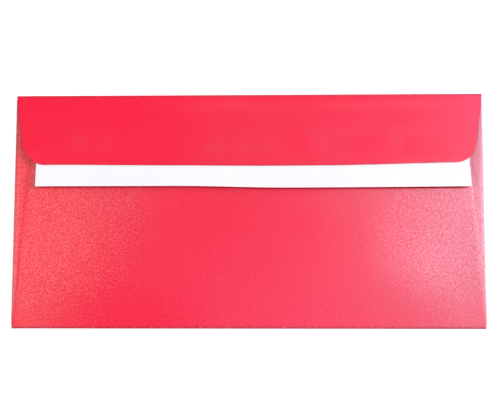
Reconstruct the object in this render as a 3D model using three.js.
// A peel-and-seal letter envelope of DL size, lying on its front with the flap side up.
//
// The paper is one die-cut sheet. It is divided here at its folds: each flat panel is a piece, and so is
// each bent strip of paper that joins two panels. The two side flaps are folded in first, and the back
// panel is folded up from the bottom and glued over them. The seal flap turns on the top fold. Its
// adhesive strip is covered by a release liner, which sticks out past the flap so that it can be gripped.
//
// Millimetres, +Z up. The origin is on the table under the middle of the envelope, +X runs along the
// folds and +Y points at the top fold.
import * as THREE from 'three';

// The sheet
const envelopeWidth = 220; // over the side folds
const envelopeHeight = 110; // from the bottom fold to the top fold
const paperThickness = 0.16;
const pocketGap = 0.6; // clear height between the inner faces of the front and back panels
const cornerNotch = 1.2; // length missing from a side fold next to the bottom fold and the top fold

// Back panel
const throatDrop = 14; // from the top fold down to the panel's free edge
const backInsetAtBottom = 0.4; // from the envelope's side to the panel's side edge
const backInsetAtThroat = 7.5;
const throatCornerRadius = 3;

// Side seams
const seamGlueThickness = 0.04;
const seamGlueWidth = 6;
const seamGlueEdgeMargin = 1; // bare paper between the glue and the back panel's side edge
const seamGlueEndMargin = 2; // bare paper beyond each end of the glue
const sideFlapBareMargin = 1.5; // bare paper between the glue and the side flap's free edge, at the throat
const sideFlapEndAngle = 25; // degrees that the side flap's ends slant

// Seal flap
const flapDepth = 34; // from the fold axis to the middle of the free edge
const flapInsetAtFold = 0.3;
const flapSideSlope = 8.8; // degrees that the side edges lean in
const flapCornerRadius = 12;
const flapEdgeBow = 0.9; // how much further the free edge reaches at its middle
const flapRestAngle = 5; // degrees that the flap stands open at rest
const flapClosedClearance = 0.15; // between the liner and the back panel with the flap pressed shut

// Adhesive strip and release liner, on the flap's inner face
const adhesiveThickness = 0.05;
const adhesiveWidth = 9;
const adhesiveLength = 197;
const adhesiveEdgeMargin = 2.5; // from the middle of the flap's free edge
const linerThickness = 0.07;
const linerLength = 203;
const linerOverhang = 10.4; // how far the liner sticks out past the middle of the flap's free edge
const linerCover = 0.8; // how far it reaches past the adhesive's inner edge
const layerClearance = 0.02; // between the flap, the adhesive and the liner
const stripShift = 1.9; // both strips sit this far towards +X

// Levels above the table
const frontTop = paperThickness;
const backBottom = frontTop + pocketGap;
const backTop = backBottom + paperThickness;
const sideFlapTop = backBottom - seamGlueThickness;
const sideFlapBottom = sideFlapTop - paperThickness;
const stripStack = adhesiveThickness + linerThickness + 2 * layerClearance;

// Outer radii of the folds
const bottomFoldRadius = backTop / 2;
const sideFoldRadius = sideFlapTop / 2;
const topFoldRadius = (backTop + flapClosedClearance + stripStack + paperThickness) / 2;

// Where the flat panels end and the folds begin
const halfWidth = envelopeWidth / 2;
const sideFoldLine = halfWidth - sideFoldRadius;
const bottomFoldLine = -envelopeHeight / 2 + bottomFoldRadius;
const topFoldLine = envelopeHeight / 2 - topFoldRadius;
const throatLine = envelopeHeight / 2 - throatDrop;

// Straight steps in each arc
const foldSegments = 8;
const cornerSegments = 12;

const pearlPaper = { color: 0xd81f3c, roughness: 0.42, metalness: 0.1 };
const siliconePaper = { color: 0xf4f2f0, roughness: 0.35, metalness: 0 };
const softAdhesive = { color: 0xd9c9a8, roughness: 0.25, metalness: 0 };
const dryGlue = { color: 0xe0dccd, roughness: 0.5, metalness: 0 };

const radians = THREE.MathUtils.degToRad;

function piece(name, geometry, finish) {
  const mesh = new THREE.Mesh(geometry, new THREE.MeshStandardMaterial(finish));
  mesh.name = name;
  return mesh;
}

function extrude(outline, depth, curveSegments) {
  return new THREE.ExtrudeGeometry(outline, { depth, curveSegments, bevelEnabled: false });
}

// A flat sheet of the outline, from the level upwards.
function sheet(outline, level, thickness) {
  return extrude(outline, thickness, cornerSegments).translate(0, 0, level);
}

function polygon(corners) {
  return new THREE.Shape(corners.map(([x, y]) => new THREE.Vector2(x, y)));
}

// A bent strip of paper that starts flat on the table and turns up and back through the angle, in
// radians. It bulges along outward from the line through middle, and its length runs along that line.
function fold(outward, middle, radius, length, angle = Math.PI) {
  const start = -Math.PI / 2;
  const end = start + angle;
  const inner = radius - paperThickness;
  const section = new THREE.Shape();
  section.absarc(0, radius, radius, start, end, false);
  section.absarc(0, radius, inner, end, start, true);
  const geometry = extrude(section, length, foldSegments).translate(0, 0, -length / 2);
  const up = new THREE.Vector3(0, 0, 1);
  const along = new THREE.Vector3().crossVectors(outward, up);
  geometry.applyMatrix4(new THREE.Matrix4().makeBasis(outward, up, along));
  return geometry.translate(middle.x, middle.y, 0);
}

// x of the back panel's right side edge at a height y.
function backEdge(y) {
  const share = (y - bottomFoldLine) / (throatLine - bottomFoldLine);
  return halfWidth - THREE.MathUtils.lerp(backInsetAtBottom, backInsetAtThroat, share);
}

function frontPanel() {
  const outline = polygon([
    [-sideFoldLine, bottomFoldLine],
    [sideFoldLine, bottomFoldLine],
    [sideFoldLine, topFoldLine],
    [-sideFoldLine, topFoldLine],
  ]);
  return piece('front_panel', sheet(outline, 0, paperThickness), pearlPaper);
}

function bottomFold() {
  const outward = new THREE.Vector3(0, -1, 0);
  const middle = new THREE.Vector2(0, bottomFoldLine);
  const length = 2 * backEdge(bottomFoldLine);
  return piece('bottom_fold', fold(outward, middle, bottomFoldRadius, length), pearlPaper);
}

// A trapezoid that narrows towards the throat, whose two upper corners are rounded.
function backPanel() {
  const bottom = backEdge(bottomFoldLine);
  const throat = backEdge(throatLine);
  const lean = Math.atan2(bottom - throat, throatLine - bottomFoldLine);
  const reach = throatCornerRadius * Math.tan((Math.PI / 2 - lean) / 2);
  const centreX = throat - reach;
  const centreY = throatLine - throatCornerRadius;
  const outline = new THREE.Shape();
  outline.moveTo(-bottom, bottomFoldLine);
  outline.lineTo(bottom, bottomFoldLine);
  outline.absarc(centreX, centreY, throatCornerRadius, lean, Math.PI / 2, false);
  outline.absarc(-centreX, centreY, throatCornerRadius, Math.PI / 2, Math.PI - lean, false);
  outline.closePath();
  return piece('back_panel', sheet(outline, backBottom, paperThickness), pearlPaper);
}

// Side flap, its fold and its seam glue, on the side of the envelope that sign gives.
function sideSeam(side, sign) {
  const width = backInsetAtThroat - sideFoldRadius + seamGlueEdgeMargin + seamGlueWidth + sideFlapBareMargin;
  const slant = Math.tan(radians(sideFlapEndAngle));
  const low = bottomFoldLine + cornerNotch;
  const high = topFoldLine - cornerNotch;
  const free = sideFoldLine - width;
  const flap = polygon([
    [sign * sideFoldLine, low],
    [sign * sideFoldLine, high],
    [sign * free, high - width * slant],
    [sign * free, low + width * slant],
  ]);

  const outward = new THREE.Vector3(sign, 0, 0);
  const middle = new THREE.Vector2(sign * sideFoldLine, (low + high) / 2);

  const glueReach = seamGlueEdgeMargin + seamGlueWidth;
  const glueLow = low + (backInsetAtBottom + glueReach) * slant + seamGlueEndMargin;
  const glueHigh = Math.min(throatLine, high - width * slant) - seamGlueEndMargin;
  const glue = polygon([
    [sign * (backEdge(glueLow) - seamGlueEdgeMargin), glueLow],
    [sign * (backEdge(glueHigh) - seamGlueEdgeMargin), glueHigh],
    [sign * (backEdge(glueHigh) - glueReach), glueHigh],
    [sign * (backEdge(glueLow) - glueReach), glueLow],
  ]);

  return [
    piece(`side_flap_${side}`, sheet(flap, sideFlapBottom, paperThickness), pearlPaper),
    piece(`side_fold_${side}`, fold(outward, middle, sideFoldRadius, high - low), pearlPaper),
    piece(`seam_glue_${side}`, sheet(glue, sideFlapTop, seamGlueThickness), dryGlue),
  ];
}

// The bent paper that the seal flap turns on. With the flap open it straightens out.
function flapCrease() {
  const outward = new THREE.Vector3(0, 1, 0);
  const middle = new THREE.Vector2(0, topFoldLine);
  const length = 2 * (halfWidth - flapInsetAtFold);
  const angle = Math.PI - radians(flapRestAngle);
  return piece('flap_crease', fold(outward, middle, topFoldRadius, length, angle), pearlPaper);
}

// Flap outline in the shut position: the fold axis is y = 0 and the free edge is towards -y. The free
// edge is an arc, and each corner arc touches it and the leaning side edge.
function flapOutline() {
  const halfFold = halfWidth - flapInsetAtFold;
  const slope = radians(flapSideSlope);
  const edgeRadius = (halfFold ** 2 + flapEdgeBow ** 2) / (2 * flapEdgeBow);
  const edgeCentre = new THREE.Vector2(0, edgeRadius - flapDepth);
  const down = new THREE.Vector2(-Math.sin(slope), -Math.cos(slope));
  const inward = new THREE.Vector2(-Math.cos(slope), Math.sin(slope));
  const start = new THREE.Vector2(halfFold, 0).addScaledVector(inward, flapCornerRadius);
  const fromEdgeCentre = start.clone().sub(edgeCentre);
  const half = fromEdgeCentre.dot(down);
  const reach = (edgeRadius - flapCornerRadius) ** 2 - fromEdgeCentre.lengthSq() + half ** 2;
  const corner = start.addScaledVector(down, Math.sqrt(reach) - half);
  const meeting = Math.atan2(corner.y - edgeCentre.y, corner.x - edgeCentre.x);

  const outline = new THREE.Shape();
  outline.moveTo(halfFold, 0);
  outline.lineTo(-halfFold, 0);
  outline.absarc(-corner.x, corner.y, flapCornerRadius, Math.PI + slope, -Math.PI - meeting, false);
  outline.absarc(edgeCentre.x, edgeCentre.y, edgeRadius, -Math.PI - meeting, meeting, false);
  outline.absarc(corner.x, corner.y, flapCornerRadius, meeting, -slope, false);
  outline.closePath();
  return outline;
}

// A straight band across the flap's inner face, between two distances from the fold axis.
function band(near, far, length) {
  const left = stripShift - length / 2;
  const right = stripShift + length / 2;
  return polygon([
    [left, -far],
    [right, -far],
    [right, -near],
    [left, -near],
  ]);
}

// Everything that turns with the seal flap, about the fold axis at the group's origin.
function sealFlap() {
  const flapInner = topFoldRadius - paperThickness;
  const adhesiveFar = flapDepth - adhesiveEdgeMargin;
  const adhesiveNear = adhesiveFar - adhesiveWidth;
  const adhesiveLevel = flapInner - layerClearance - adhesiveThickness;
  const linerLevel = adhesiveLevel - layerClearance - linerThickness;
  const adhesive = band(adhesiveNear, adhesiveFar, adhesiveLength);
  const liner = band(adhesiveNear - linerCover, flapDepth + linerOverhang, linerLength);

  const group = new THREE.Group();
  group.add(piece('seal_flap', sheet(flapOutline(), flapInner, paperThickness), pearlPaper));
  group.add(piece('adhesive_strip', sheet(adhesive, adhesiveLevel, adhesiveThickness), softAdhesive));
  group.add(piece('release_liner', sheet(liner, linerLevel, linerThickness), siliconePaper));
  group.position.set(0, topFoldLine, topFoldRadius);
  group.rotation.x = -radians(flapRestAngle);
  return group;
}

const envelope = new THREE.Group();
envelope.add(frontPanel(), bottomFold(), backPanel());
envelope.add(...sideSeam('left', -1), ...sideSeam('right', 1));
envelope.add(flapCrease(), sealFlap());

export default envelope;
